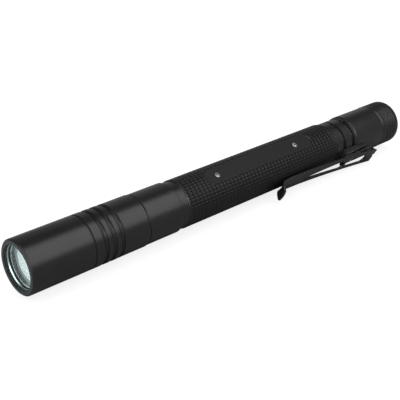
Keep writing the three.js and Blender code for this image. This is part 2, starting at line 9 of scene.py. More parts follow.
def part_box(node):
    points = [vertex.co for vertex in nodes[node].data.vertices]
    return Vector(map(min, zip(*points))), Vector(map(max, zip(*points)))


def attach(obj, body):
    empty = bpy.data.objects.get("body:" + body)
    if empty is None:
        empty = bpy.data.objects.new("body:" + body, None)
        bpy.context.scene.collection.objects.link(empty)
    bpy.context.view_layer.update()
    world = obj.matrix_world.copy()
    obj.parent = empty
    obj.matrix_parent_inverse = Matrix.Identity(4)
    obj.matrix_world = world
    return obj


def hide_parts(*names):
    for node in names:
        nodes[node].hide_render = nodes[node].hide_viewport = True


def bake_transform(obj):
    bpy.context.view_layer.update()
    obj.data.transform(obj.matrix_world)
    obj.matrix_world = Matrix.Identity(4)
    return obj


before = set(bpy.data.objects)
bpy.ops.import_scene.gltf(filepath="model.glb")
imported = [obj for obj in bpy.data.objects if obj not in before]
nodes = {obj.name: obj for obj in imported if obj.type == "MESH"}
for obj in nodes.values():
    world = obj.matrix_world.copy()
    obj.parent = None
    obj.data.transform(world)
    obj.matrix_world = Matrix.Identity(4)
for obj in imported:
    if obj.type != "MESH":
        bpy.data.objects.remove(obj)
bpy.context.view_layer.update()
print("stage: CAD frame loaded,", len(nodes), "nodes")

# Lengths below are in millimetres; stations count from the lamp end along the axis.
mm = 0.001
tiny = 1e-6
# These two are in metres.
weldDistance, sliverLength = 2e-7, 1e-8
sharpAngle = 38
headLow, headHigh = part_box("head_shell")
frontX = headLow.x
axisY = (headLow.y + headHigh.y) / 2
axisZ = (headLow.z + headHigh.z) / 2


# A point at a station, a radius and an angle that counts from straight up toward -Y.
def around(station, radius, angle):
    turn = np.radians(angle)
    x = frontX + np.asarray(station) * mm
    y = axisY - radius * np.sin(turn) * mm
    z = axisZ + radius * np.cos(turn) * mm
    return np.stack(np.broadcast_arrays(x, y, z), -1)


# A point on the side of the body: out from the axis at an angle, and across toward larger angles.
def onSide(station, across, out, angle):
    turn = math.radians(angle)
    x = frontX + np.asarray(station) * mm
    y = axisY - (np.asarray(out) * math.sin(turn) + np.asarray(across) * math.cos(turn)) * mm
    z = axisZ + (np.asarray(out) * math.cos(turn) - np.asarray(across) * math.sin(turn)) * mm
    return np.stack(np.broadcast_arrays(x, y, z), -1)


# Makes a closed mesh piece, rides it on its body and lets it stand for its CAD nodes.
def addPiece(spec, points, faces):
    mesh = bpy.data.meshes.new(spec["name"])
    mesh.from_pydata(np.asarray(points).reshape(-1, 3).tolist(), [], faces)
    work = bmesh.new()
    work.from_mesh(mesh)
    bmesh.ops.remove_doubles(work, verts=work.verts, dist=weldDistance)
    bmesh.ops.dissolve_degenerate(work, edges=work.edges, dist=sliverLength)
    bmesh.ops.recalc_face_normals(work, faces=work.faces)
    work.to_mesh(mesh)
    work.free()
    if "mask" in spec:
        mask = mesh.attributes.new("mask", "FLOAT", "POINT")
        for vertex, value in zip(mesh.vertices, mask.data):
            side = math.hypot(vertex.co.y - axisY, vertex.co.z - axisZ)
            value.value = spec["mask"]((vertex.co.x - frontX) / mm, side / mm)
    for polygon in mesh.polygons:
        polygon.use_smooth = True
    mesh.set_sharp_from_angle(angle=math.radians(sharpAngle))
    piece = bpy.data.objects.new(spec["name"], mesh)
    bpy.context.scene.collection.objects.link(piece)
    mesh.materials.append(spec["material"])
    if "body" in spec:
        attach(piece, spec["body"])
    if "replaces" in spec:
        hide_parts(*spec["replaces"])
    return piece


# Quads that join rings of points, each ring closed on itself. pairs says which rings meet.
def joinRings(pairs, count):
    faces = []
    for i, j in pairs:
        for k in range(count):
            n = (k + 1) % count
            faces.append((i * count + k, i * count + n, j * count + n, j * count + k))
    return faces


# Rounds the corners of a closed profile. Each corner becomes a short quadratic arc
# with a support point on either side, so that long flats shade flat.
def softened(profile, size):
    sideShare, supportShare = 0.36, 0.25
    points = [np.array(p, float) for p in profile]
    count = len(points)
    result = []
    for i, corner in enumerate(points):
        before, after = points[i - 1] - corner, points[(i + 1) % count] - corner
        lengths = np.linalg.norm(before), np.linalg.norm(after)
        if corner[1] < tiny or min(lengths) < tiny:
            result.append(corner)
            continue
        reach = min(size, sideShare * lengths[0], sideShare * lengths[1])
        start = corner + before / lengths[0] * reach
        end = corner + after / lengths[1] * reach
        result.append(start + before / lengths[0] * reach * supportShare)
        for t in (0, 1 / 3, 2 / 3, 1):
            result.append((1 - t) ** 2 * start + 2 * t * (1 - t) * corner + t * t * end)
        result.append(end + after / lengths[1] * reach * supportShare)
    return np.array(result)


# Turns a closed profile of (station, radius) round the axis. rows, if given, adds points
# to the profile; relief is taken off the radius and depends on the place.
def turnedPiece(spec):
    profile = softened(spec["profile"], spec["soft"])
    if "rows" in spec:
        profile = spec["rows"](profile)
    columns = spec["columns"]
    angles = np.arange(columns) * 360 / columns
    stations = np.repeat(profile[:, :1], columns, 1)
    radii = np.repeat(profile[:, 1:], columns, 1)
    if "relief" in spec:
        radii = radii - spec["relief"](stations, radii, angles[None, :])
    points = around(stations, radii, angles[None, :])
    rowCount = len(profile)
    pairs = [(i, (i + 1) % rowCount) for i in range(rowCount)]
    pairs = [(i, j) for i, j in pairs if max(profile[i, 1], profile[j, 1]) >= tiny]
    return addPiece(spec, points, joinRings(pairs, columns))


# A flat outline on the side of the body, raised between two distances with a bevelled top.
# flare spreads its foot and fall lowers its top along the stations.
def raisedPiece(spec):
    landShare = 1.4
    outline = np.array(spec["outline"], float)
    count = len(outline)
    step = np.roll(outline, -1, 0) - np.roll(outline, 1, 0)
    inward = np.stack([-step[:, 1], step[:, 0]], -1)
    inward /= np.linalg.norm(inward, axis=1, keepdims=True)
    bevel = spec["bevel"]
    rings = [(-spec.get("flare", 0), spec["low"])]
    for turn in np.radians([0, 30, 60, 90]):
        rings.append((bevel * (1 - math.cos(turn)), spec["high"] - bevel * (1 - math.sin(turn))))
    rings.append((bevel * landShare, spec["high"]))
    rows = []
    for inset, height in rings:
        edge = outline + inward * inset
        share = spec["fall"](edge[:, 0]) if "fall" in spec else 1
        rows.append(onSide(*edge.T, spec["low"] + (height - spec["low"]) * share, spec["angle"]))
    last = len(rows) - 1
    faces = [tuple(range(count))[::-1]]
    faces += joinRings(zip(range(last), range(1, last + 1)), count)
    faces.append(tuple(last * count + k for k in range(count)))
    return addPiece(spec, np.concatenate(rows), faces)


# A long outline with round ends, counterclockwise in station and across.
def roundEnded(start, end, half, steps=24):
    rear = np.radians(np.linspace(-90, 90, steps))
    front = np.radians(np.linspace(90, 270, steps))
    rearArc = np.stack([end - half + half * np.cos(rear), half * np.sin(rear)], -1)
    frontArc = np.stack([start + half + half * np.cos(front), half * np.sin(front)], -1)
    return np.concatenate([rearArc, frontArc])


# A noise texture in a node tree, read at the given place.
def addNoise(tree, place, scale, detail):
    noise = tree.nodes.new("ShaderNodeTexNoise")
    noise.inputs["Scale"].default_value = scale
    noise.inputs["Detail"].default_value = detail
    tree.links.new(place, noise.inputs["Vector"])
    return noise.outputs["Fac"]


# Maps a value from the span onto the range from low to high.
def mapRange(tree, value, low, high, span=(0, 1)):
    node = tree.nodes.new("ShaderNodeMapRange")
    node.inputs["From Min"].default_value, node.inputs["From Max"].default_value = span
    node.inputs["To Min"].default_value = low
    node.inputs["To Max"].default_value = high
    tree.links.new(value, node.inputs["Value"])
    return node.outputs["Result"]


# Marks shared by the finishes: soft blotches, fine grain, lathe marks round the axis
# and short scratches along it.
def makeSurfaceMarks():
    group = bpy.data.node_groups.new("surfaceMarks", "ShaderNodeTree")
    for name in ("Blotch", "Grain", "Lathe", "Scratch"):
        group.interface.new_socket(name=name, in_out="OUTPUT", socket_type="NodeSocketFloat")
    out = group.nodes.new("NodeGroupOutput")
    place = group.nodes.new("ShaderNodeTexCoord").outputs["Object"]
    group.links.new(addNoise(group, place, 160, 5), out.inputs["Blotch"])
    group.links.new(addNoise(group, place, 7000, 2), out.inputs["Grain"])
    split = group.nodes.new("ShaderNodeSeparateXYZ")
    group.links.new(place, split.inputs["Vector"])
    lathe = group.nodes.new("ShaderNodeTexNoise")
    lathe.noise_dimensions = "1D"
    lathe.inputs["Scale"].default_value = 9000
    lathe.inputs["Detail"].default_value = 3
    group.links.new(split.outputs["X"], lathe.inputs["W"])
    group.links.new(lathe.outputs["Fac"], out.inputs["Lathe"])
    stretch = group.nodes.new("ShaderNodeMapping")
    stretch.inputs["Scale"].default_value = (300, 5000, 5000)
    group.links.new(place, stretch.inputs["Vector"])
    group.links.new(addNoise(group, stretch.outputs["Vector"], 1, 4), out.inputs["Scratch"])
    return group


surfaceMarks = makeSurfaceMarks()


# A finish whose colour and roughness drift with the blotches and whose relief comes
# from grain, lathe marks or scratches. Where a piece carries a mask, the finish turns
# into the masked colour, metal and gloss.
def newFinish(spec):
    grainSpan, reliefDepth = (0.3, 0.7), 0.00002
    material = bpy.data.materials.new(spec["name"])
    material.use_nodes = True
    tree = material.node_tree
    shader = tree.nodes["Principled BSDF"]
    marks = tree.nodes.new("ShaderNodeGroup")
    marks.node_tree = surfaceMarks
    tint = tree.nodes.new("ShaderNodeMix")
    tint.data_type = "RGBA"
    tint.inputs["A"].default_value = (*spec["dark"], 1)
    tint.inputs["B"].default_value = (*spec["light"], 1)
    tree.links.new(marks.outputs["Blotch"], tint.inputs["Factor"])
    shader.inputs["Metallic"].default_value = spec.get("metal", 0)
    if "masked" in spec:
        mask = tree.nodes.new("ShaderNodeAttribute")
        mask.attribute_name = "mask"
        swap = tree.nodes.new("ShaderNodeMix")
        swap.data_type = "RGBA"
        swap.inputs["B"].default_value = (*spec["masked"], 1)
        tree.links.new(mask.outputs["Fac"], swap.inputs["Factor"])
        tree.links.new(tint.outputs["Result"], swap.inputs["A"])
        tree.links.new(swap.outputs["Result"], shader.inputs["Base Color"])
        metal = mapRange(tree, mask.outputs["Fac"], spec.get("metal", 0), spec["maskedMetal"])
        tree.links.new(metal, shader.inputs["Metallic"])
    else:
        tree.links.new(tint.outputs["Result"], shader.inputs["Base Color"])
    rough = mapRange(tree, marks.outputs["Grain"], *spec["rough"], grainSpan)
    tree.links.new(rough, shader.inputs["Roughness"])
    bump = tree.nodes.new("ShaderNodeBump")
    bump.inputs["Strength"].default_value = spec["relief"]
    bump.inputs["Distance"].default_value = reliefDepth
    tree.links.new(marks.outputs[spec["marks"]], bump.inputs["Height"])
    tree.links.new(bump.outputs["Normal"], shader.inputs["Normal"])
    shader.inputs["Specular IOR Level"].default_value = spec.get("specular", 0.5)
    if "maskedSpecular" in spec:
        gloss = mapRange(tree, mask.outputs["Fac"], spec["specular"], spec["maskedSpecular"])
        tree.links.new(gloss, shader.inputs["Specular IOR Level"])
    return material


blackCoat = {
    "dark": (0.005, 0.005, 0.0053), "light": (0.01, 0.01, 0.0106),
    "rough": (0.28, 0.36), "relief": 0.10, "marks": "Lathe", "specular": 0.25,
}
# Where the head's mask is set, this finish turns bright metal: a painted highlight on the mouth's chamfer
# and a faint painted reflection on the lip.
anodised = newFinish({
    **blackCoat, "name": "blackAnodised", "masked": (0.42, 0.54, 0.53), "maskedMetal": 1,
})
# Where the mask is set, this finish turns darker and less glossy: painted shade on the grip and inside the
# neck slots.
barrelFinish = newFinish({
    **blackCoat, "name": "barrelAnodised",
    "masked": (0.005, 0.005, 0.0056), "maskedMetal": 0, "maskedSpecular": 0.12,
})
plateFinish = newFinish({
    "name": "plateGrey", "dark": (0.006, 0.006, 0.0066), "light": (0.009, 0.009, 0.01),
    "rough": (0.4, 0.48), "relief": 0.12, "marks": "Scratch", "specular": 0.17,
})
clipFinish = newFinish({
    "name": "clipBlack", "dark": (0.006, 0.006, 0.006), "light": (0.012, 0.012, 0.012),
    "rough": (0.3, 0.4), "relief": 0.12, "marks": "Scratch", "specular": 0.3,
})
steelFinish = newFinish({
    "name": "brightSteel", "dark": (0.15, 0.153, 0.156), "light": (0.24, 0.245, 0.25),
    "rough": (0.3, 0.42), "relief": 0.1, "marks": "Grain", "metal": 1,
})
brassFinish = newFinish({
    "name": "plainBrass", "dark": (0.6, 0.42, 0.16), "light": (0.78, 0.58, 0.26),
    "rough": (0.25, 0.4), "relief": 0.1, "marks": "Lathe", "metal": 1,
})
rubberFinish = newFinish({
    "name": "blackRubber", "dark": (0.012, 0.012, 0.012), "light": (0.022, 0.022, 0.022),
    "rough": (0.65, 0.8), "relief": 0.3, "marks": "Grain",
})
mirrorFinish = newFinish({
    "name": "reflectorBright", "dark": (0.84, 0.93, 0.93), "light": (0.94, 0.98, 0.98),
    "rough": (0.1, 0.24), "relief": 0.5, "marks": "Scratch", "metal": 0.4,
    "masked": (0.01, 0.013, 0.013), "maskedMetal": 0,
})
whiteFinish = newFinish({
    "name": "whitePlastic", "dark": (0.62, 0.62, 0.58), "light": (0.8, 0.8, 0.77),
    "rough": (0.4, 0.55), "relief": 0.1, "marks": "Grain",
})
blackPlasticFinish = newFinish({
    "name": "blackPlastic", "dark": (0.014, 0.014, 0.015), "light": (0.026, 0.026, 0.028),
    "rough": (0.45, 0.6), "relief": 0.2, "marks": "Grain",
})
boardFinish = newFinish({
    "name": "greenBoard", "dark": (0.015, 0.11, 0.05), "light": (0.03, 0.2, 0.09),
    "rough": (0.35, 0.5), "relief": 0.1, "marks": "Grain",
})
emitterFinish = newFinish({
    "name": "emitterYellow", "dark": (0.75, 0.6, 0.12), "light": (0.9, 0.76, 0.22),
    "rough": (0.15, 0.25), "relief": 0.05, "marks": "Grain",
})
cellFinish = newFinish({
    "name": "cellWrap", "dark": (0.03, 0.11, 0.28), "light": (0.06, 0.17, 0.38),
    "rough": (0.25, 0.35), "relief": 0.06, "marks": "Scratch", "specular": 0.6,
})


# Clear glass: nearly see-through face on. At a slant it turns more solid and pale, a painted reflection,
# and on the ring marked near the lens's edge it is solid too, a painted glint of its bevel.
def makeGlass():
    material = bpy.data.materials.new("clearGlass")
    material.use_nodes = True
    tree = material.node_tree
    shader = tree.nodes["Principled BSDF"]
    slant = tree.nodes.new("ShaderNodeLayerWeight")
    slant.inputs["Blend"].default_value = 0.25
    paintedSheen = mapRange(tree, slant.outputs["Fresnel"], 0.04, 0.4)
    # The mask marks the painted glint of the lens's edge bevel.
    edgeGlint = tree.nodes.new("ShaderNodeAttribute")
    edgeGlint.attribute_name = "mask"
    solid = tree.nodes.new("ShaderNodeMath")
    solid.operation = "MAXIMUM"
    tree.links.new(paintedSheen, solid.inputs[0])
    tree.links.new(edgeGlint.outputs["Fac"], solid.inputs[1])
    tree.links.new(solid.outputs["Value"], shader.inputs["Alpha"])
    marks = tree.nodes.new("ShaderNodeGroup")
    marks.node_tree = surfaceMarks
    rough = mapRange(tree, marks.outputs["Blotch"], 0.01, 0.06)
    tree.links.new(rough, shader.inputs["Roughness"])
    shader.inputs["Base Color"].default_value = (0.62, 0.76, 0.76, 1)
    return material


glassFinish = makeGlass()
print("stage: finishes made")


# Profile points of one turned groove with a round bottom.
def groove(station, width, depth, radius, steps=7):
    fullness = 0.7
    turns = np.linspace(0, math.pi, steps)
    return [
        (station - width / 2 * math.cos(t), radius - depth * math.sin(t) ** fullness) for t in turns
    ]


# Profile points of a quarter of an ellipse, given its centre and its two reaches.
def quarter(centre, along, out, start, end, steps):
    turns = np.radians(np.linspace(start, end, steps))
    return [(centre[0] + along * math.cos(t), centre[1] + out * math.sin(t)) for t in turns]


# Lamp head. The chamfer in the mouth carries a painted highlight, a ring of bright metal, and the lip a
# faint painted reflection that makes it a little paler than the rest.
mouth = {"chamfer": (1.16, 1.4), "radii": (5.6, 5.9), "lipRadius": 6.8, "lipReflectionShare": 0.035}


def mouthHighlightMask(station, radius):
    start, end = mouth["chamfer"]
    low, high = mouth["radii"]
    if start < station < end and low < radius < high:
        return 1.0
    return mouth["lipReflectionShare"] if station < start and radius < mouth["lipRadius"] else 0.0


headPiece = {
    "name": "headShell", "body": "head", "replaces": ["head_shell"], "slot": "black_anodised",
    "material": anodised, "columns": 180, "soft": 0.09,
    "mask": mouthHighlightMask,
    "profile": [
        (0.15, 5.8), (0.15, 6.75), (0.5, 7.155),
        *groove(18.05, 0.42, 0.3, 7.155, 5),
        *[p for i in range(3) for p in groove(21.2 + 2.5 * i, 1.2, 0.58, 7.155)],
        (27.1, 7.105), (34.7, 7.105), (34.9, 6.905),
        (34.9, 6.555), (30.25, 6.555), (30.25, 6.255), (1.5, 6.255), (1.5, 5.605), (1.45, 5.605),
        (1.37, 5.67), (1.19, 5.85), (1.1, 5.93), (0.35, 5.95),
    ],
}
turnedPiece(headPiece)

# The lens is slightly domed. A ring near its edge is marked for the painted glint of its bevel.
lensPiece = {
    "name": "lensGlass", "body": "head_carrier", "replaces": ["lens"], "slot": "clear_glass",
    "material": glassFinish, "columns": 120, "soft": 0.05,
    "mask": lambda station, radius: 0.8 if station < 2.2 and 5.5 < radius < 5.7 else 0.0,
    "profile": [
        *quarter((2.1, 0), -0.5, 5.3, 0, 90, 12), (2.1, 5.48), (2.12, 5.52), (2.12, 5.68),
        (2.1, 5.72), (2.1, 6.155), (3.4, 6.155), (3.4, 0),
    ],
}
turnedPiece(lensPiece)

gasketPiece = {
    "name": "lensGasket", "body": "head", "replaces": ["lens_gasket"], "slot": "black_rubber",
    "material": rubberFinish, "columns": 96, "soft": 0.15,
    "profile": [(1.55, 5.705), (1.55, 6.155), (2.05, 6.155), (2.05, 5.705)],
}
turnedPiece(gasketPiece)


# The bowl's radius squared grows evenly with the distance from its rear end.
def bowl(rear, length, low, high, wall, steps):
    share = np.linspace(0, 1, steps)
    radius = low + (high - low) * share
    square = (radius**2 - low**2) / (high**2 - low**2)
    return [(rear - length * s, r + wall) for s, r in zip(square, radius)]


reflectorPiece = {
    "name": "reflectorBowl", "body": "head", "replaces": ["reflector"], "slot": "reflector_bright",
    "material": mirrorFinish, "columns": 120, "soft": 0.03,
    "mask": lambda station, radius: 1.0 if station < 4.5 and radius > 4.88 else 0.0,
    "profile": [
        *bowl(12.45, 9, 2.1, 4.855, 0, 28),
        (3.45, 6.155), (4.25, 6.155),
        *bowl(12.45, 8.2, 2.1, 4.855, 0.6, 12)[::-1],
    ],
}
turnedPiece(reflectorPiece)
print("stage: lamp head built")

# Barrel. The grip is cut into square points: along the axis and round it the height
# rises and falls in straight ramps, the lower ramp wins and the tops are clipped flat.
gripStart, gripEnd, gripRadius = 48.5, 108.1, 6.8
knurl = {
    "pitch": 59.6 / 45, "rows": 42, "depth": 0.16, "samples": 5, "steepness": 2.2,
    "margin": 0.25, "lowest": 6.6, "firstRow": 0.4, "lastRow": 0.35,
}


def knurlRelief(stations, radii, angles):
    along = (stations - gripStart) / knurl["pitch"] % 1
    turn = angles * knurl["rows"] / 360 % 1
    ramps = np.minimum(1 - np.abs(2 * along - 1), 1 - np.abs(2 * turn - 1))
    height = np.clip(knurl["steepness"] * ramps, 0, 1)
    inside = (stations > gripStart + knurl["margin"]) & (stations < gripEnd - knurl["margin"])
    onGrip = inside & (radii > knurl["lowest"])
    return np.where(onGrip, knurl["depth"] * (1 - height), 0)


# Adds the rows of points that the knurl needs along the grip.
def gripRows(profile):
    slack = 0.01
    top = [
        i for i, (station, radius) in enumerate(profile)
        if radius > gripRadius - slack and gripStart + 0.1 < station < gripEnd - 0.1
    ]
    spacing = knurl["pitch"] / knurl["samples"]
    stations = np.arange(gripStart + knurl["firstRow"], gripEnd - knurl["lastRow"], spacing)
    grip = np.stack([stations, np.full(len(stations), gripRadius)], -1)
    return np.concatenate([profile[: top[0] + 1], grip, profile[top[-1] :]])


# The grip is painted with shade: a darker colour and a lower gloss than the turned surfaces stand in for
# the light its knurl scatters.
def gripShadeMask(station, radius):
    return 1.0 if gripStart + 0.3 < station < gripEnd - 0.3 and radius > 6.5 else 0.0


tubePiece = {
    "name": "bodyTube", "body": "barrel", "replaces": ["body_tube"], "slot": "black_anodised",
    "material": barrelFinish, "columns": 210, "soft": 0.08, "rows": gripRows, "relief": knurlRelief,
    "mask": gripShadeMask,
    "profile": [
        (25.4, 5.25), (25.4, 5.955), (25.6, 6.155), (30.45, 6.155), (30.65, 6.455),
        (32.65, 6.455), (32.65, 5.955), (33.75, 5.955), (33.75, 6.455), (35.05, 6.455),
        (35.05, 6.76), (35.25, 6.96), (45.8, 6.96), (46, 6.76), (46, 6.52),
        (48.5, 6.52), (48.5, 6.6), (48.7, 6.8), (107.9, 6.8), (108.1, 6.6),
        (108.1, 6.05), (100.55, 6.05), (100.55, 5.25),
    ],
}
tube = turnedPiece(tubePiece)

# The plate's seat is cut out of the grip with a plain round-ended block.
plateAngle, plateStart, plateEnd, plateTop = 27, 57.25, 99.35, 6.33
plateHalf = math.sqrt(gripRadius**2 - plateTop**2)
plateGap = 0.05
seatBlock = raisedPiece({
    "name": "seatBlock", "material": barrelFinish, "angle": plateAngle, "bevel": 0.02,
    "outline": roundEnded(plateStart, plateEnd, plateHalf), "low": 5.83, "high": 8,
})
cut = tube.modifiers.new("plateSeat", "BOOLEAN")
cut.operation = "DIFFERENCE"
cut.solver = "EXACT"
cut.object = seatBlock
graph = bpy.context.evaluated_depsgraph_get()
cutMesh = bpy.data.meshes.new_from_object(tube.evaluated_get(graph))
tube.modifiers.clear()
tube.data = cutMesh
bpy.data.objects.remove(seatBlock)

platePiece = {
    "name": "sidePlate", "body": "barrel", "replaces": ["side_plate"], "slot": "plate_grey",
    "material": plateFinish, "angle": plateAngle, "bevel": 0.06,
    "outline": roundEnded(plateStart + plateGap, plateEnd - plateGap, plateHalf - plateGap),
    "low": 5.88, "high": plateTop,
}
raisedPiece(platePiece)


# A low domed screw head with a cross recess, on a plain shank. The recess follows the
# nearer arm of the cross and its walls slope.
def screwPiece(spec):
    sides, crossTurn, dome, armSlope, reachSlope = 64, 0.5, 0.75, 0.06, 0.08
    head, shank, seat = spec["head"], spec["shank"], spec["seat"]
    radial = np.concatenate([np.linspace(0, 0.93, 22), [0.97, 1.0]]) * head
    turn = np.radians(np.arange(sides) * 360 / sides)
    radius, angle = np.meshgrid(radial, turn, indexing="ij")
    share = radius / head
    height = spec["height"] * np.sqrt(np.clip(1 - dome * share**2, 0, 1))
    sideA = np.abs(radius * np.cos(angle + crossTurn))
    sideB = np.abs(radius * np.sin(angle + crossTurn))
    arm = np.clip((spec["arm"] - np.minimum(sideA, sideB)) / armSlope, 0, 1)
    reach = np.clip((spec["reach"] - radius) / reachSlope, 0, 1)
    height = height - spec["recess"] * arm * reach
    rings = [(radius[i], height[i]) for i in range(len(radial))]
    rings += [(head, 0), (shank, 0), (shank, -spec["depth"]), (0, -spec["depth"])]
    points = []
    for out, level in rings:
        station = spec["station"] + out * np.cos(turn)
        points.append(onSide(station, out * np.sin(turn), seat + level, spec["angle"]))
    last = len(points) - 1
    return addPiece(spec, points, joinRings(zip(range(last), range(1, last + 1)), sides))


plateScrews = (
    ("plateScrewFront", "plate_screw_front", 61.55), ("plateScrewRear", "plate_screw_rear", 92.65),
)
for name, node, station in plateScrews:
    screwPiece({
        "name": name, "body": "barrel", "replaces": [node], "slot": "bright_steel", "material": steelFinish,
        "station": station, "seat": plateTop + 0.025, "angle": plateAngle, "head": 0.86, "height": 0.3,
        "shank": 0.5, "depth": 1.0, "arm": 0.13, "reach": 0.6, "recess": 0.22,
    })
print("stage: barrel built")

# Tail cap with a real screw thread on its spigot: the radius falls and rises with the
# distance along a helix of one millimetre a turn.
thread = {
    "start": 101.2, "end": 106.3, "pitch": 1.0, "depth": 0.22, "radius": 5.95, "lowest": 5.9,
    "fade": 0.5, "steepness": 1.7, "land": 0.25,
    "rows": (101.1, 106.5, 0.1), "spigot": (100.7, 106.9),
}


def threadRelief(stations, radii, angles):
    phase = ((stations - thread["start"]) / thread["pitch"] + angles / 360) % 1
    rise = 1 - np.abs(2 * phase - 1)
    ramp = np.clip(thread["steepness"] * rise - thread["land"], 0, 1)
    fadeIn = np.clip((stations - thread["start"]) / thread["fade"], 0, 1)
    fadeOut = np.clip((thread["end"] - stations) / thread["fade"], 0, 1)
    onThread = (radii > thread["lowest"]) & (stations < thread["end"])
    return np.where(onThread, thread["depth"] * ramp * (fadeIn * fadeOut), 0)


# Adds the rows of points that the thread needs along the spigot.
def threadRows(profile):
    slack = 0.01
    start, end = thread["spigot"]
    top = [
        i for i, (station, radius) in enumerate(profile)
        if abs(radius - thread["radius"]) < slack and start < station < end
    ]
    stations = np.arange(*thread["rows"])
    rows = np.stack([stations, np.full(len(stations), thread["radius"])], -1)
    return np.concatenate([profile[: top[0] + 1], rows, profile[top[0] + 1 :]])


# The neck's two cuts are slots with round ends, one pair on each side of the clip.
neckRadius = 6.44
neckSlots = {
    "stations": (112.15, 116.3), "half": 0.7, "depth": 0.8, "arcs": ((12, 94), (147, 229)),
    "lowest": 5.7, "fullness": 0.35, "shadedBelow": 0.2,
}


def inNeckSlot(station, radius):
    near = any(abs(station - middle) < neckSlots["half"] for middle in neckSlots["stations"])
    return near and radius > neckSlots["lowest"]


# Painted shade inside the slots: a darker colour and a lower gloss where they are deep.
def neckSlotShadeMask(station, radius):
    deep = radius < neckRadius - neckSlots["shadedBelow"]
    return 1.0 if inNeckSlot(station, radius) and deep else 0.0


def slotDepth(stations, angles):
    half = neckSlots["half"]
    aside = np.min([np.abs(stations - middle) for middle in neckSlots["stations"]], axis=0)
    past = np.min([
        np.maximum(np.maximum(start - angles, angles - end), 0) for start, end in neckSlots["arcs"]
    ], axis=0)
    past = np.radians(past) * neckRadius
    share = np.clip(1 - (aside**2 + past**2) / half**2, 0, 1)
    return neckSlots["depth"] * share ** neckSlots["fullness"]


def capRelief(stations, radii, angles):
    onNeck = np.vectorize(inNeckSlot)(stations, radii)
    neckRelief = radii - neckRadius + slotDepth(stations, angles)
    return np.where(onNeck, neckRelief, threadRelief(stations, radii, angles))


slotRows = [
    point for middle in neckSlots["stations"]
    for point in groove(middle, 2 * neckSlots["half"], neckSlots["depth"], neckRadius, 13)
]
capPiece = {
    "name": "tailCap", "body": "tail", "replaces": ["tail_cap"], "slot": "black_anodised",
    "material": barrelFinish, "columns": 240, "soft": 0.08, "rows": threadRows, "relief": capRelief,
    "mask": neckSlotShadeMask,
    "profile": [
        (100.65, 5.25), (100.65, 5.75), (100.85, 5.95), (106.9, 5.95), (106.9, 5.6), (107.8, 5.6),
        (107.8, 5.95), (108.25, 5.95), (108.25, 6.3), (108.8, 6.3), (108.8, neckRadius),
        *slotRows,
        (117.8, neckRadius), (118, 6.754), (130.85, 6.754), (131.3, 6.86), (131.5, 6.86), (131.65, 6.6),
        (131.65, 5.754), (121.45, 5.754), (121.45, 5.25),
    ],
}
turnedPiece(capPiece)


# The pad has square front corners and round rear ones.
def padOutline(start, end, half, corner, steps=10):
    nick = 0.3
    lower = np.radians(np.linspace(-90, 0, steps))
    upper = np.radians(np.linspace(0, 90, steps))
    low = np.stack([end - corner + corner * np.cos(lower), -(half - corner) + corner * np.sin(lower)], -1)
    high = np.stack([end - corner + corner * np.cos(upper), half - corner + corner * np.sin(upper)], -1)
    front = [(start + nick, half), (start, half - nick), (start, -half + nick), (start + nick, -half)]
    return np.concatenate([low, high, front])


clipAngle, padTop = 120.5, 7.354
padPiece = {
    "name": "clipPad", "body": "tail", "replaces": ["tail_cap"], "slot": "black_anodised",
    "material": anodised, "angle": clipAngle, "bevel": 0.2, "flare": 1.2,
    "fall": lambda station: 1 - 0.5 * np.clip((station - 121.5) / 4, 0, 1) ** 2,
    "outline": padOutline(112.3, 128.9, 2.2, 1.9), "low": 5.8, "high": padTop,
}
raisedPiece(padPiece)

# The end ring has fine turned rings and a rounded rear edge.
endStation, endRadius, rimRound = 139.45, 6.82, 1.1
rimCentre = (endStation - rimRound, endRadius - rimRound)
endPiece = {
    "name": "endRing", "body": "tail", "replaces": ["end_ring"], "slot": "black_anodised",
    "material": anodised, "columns": 160, "soft": 0.07,
    "profile": [
        (129.9, 4.4), (129.9, 5.654), (131.8, 5.654), (131.8, 6.62), (132, endRadius),
        *[p for i in range(5) for p in groove(132.95 + 1.02 * i, 0.6, 0.28, endRadius, 5)],
        *quarter(rimCentre, rimRound, rimRound, 90, 0, 9), (endStation, 4.4),
    ],
}
turnedPiece(endPiece)

buttonPiece = {
    "name": "tailButton", "body": "button", "replaces": ["tail_button"], "slot": "black_rubber",
    "material": rubberFinish, "columns": 120, "soft": 0.12,
    "profile": [
        (129, 0), (129, 1.9), (137.3, 1.9), (137.3, 3.3), (129, 3.3), (129, 5.604),
        (129.85, 5.604), (129.85, 4.3), *quarter((138.3, 0), 0.7, 4.3, 90, 0, 14),
    ],
}
turnedPiece(buttonPiece)
print("stage: tail built")

# Pocket clip, one strip: foot, bend and arm with a lifted tip. Each station gives the
# middle line, its outward normal, the arch across, the half width and the slot's half width.
clip = {
    "thick": 0.55, "edge": 0.07, "bendStation": 123.8, "bendRadius": 1.0, "footMiddle": 7.679,
    "footLength": 12.6, "footHalf": 1.9, "bendHalf": 2.75, "armHalf": 2.9, "armLow": 7.7,
    "reach": 39.4, "slope": 0.1, "tipReach": 2.4, "tipRise": 2.65, "tipRound": 0.4, "arch": 1 / 7.6,
    "taper": 0.45, "taperReach": 4.0, "bow": 0.18, "toeShare": 0.38, "toeDrop": 0.05,
    "archGrowth": 1.25, "tipEasing": 1.6, "tipRounding": 0.75,
    "slots": [(92.9, 110.6, 0.3, 1.7), (111.4, 120.3, 1.7, 1.7)],
    "bendSlot": 0.65, "bendSlotReach": 0.8, "bendSlotStart": 0.1, "bendSlotTurn": 1.1, "bendRound": 0.8,
    "blendFoot": (123.8, 9.23), "blendArm": (123.785, 9.3785),
}
fineSteps, sectionSpread = 2001, 6
sectionCount = 2 * sectionSpread + 4


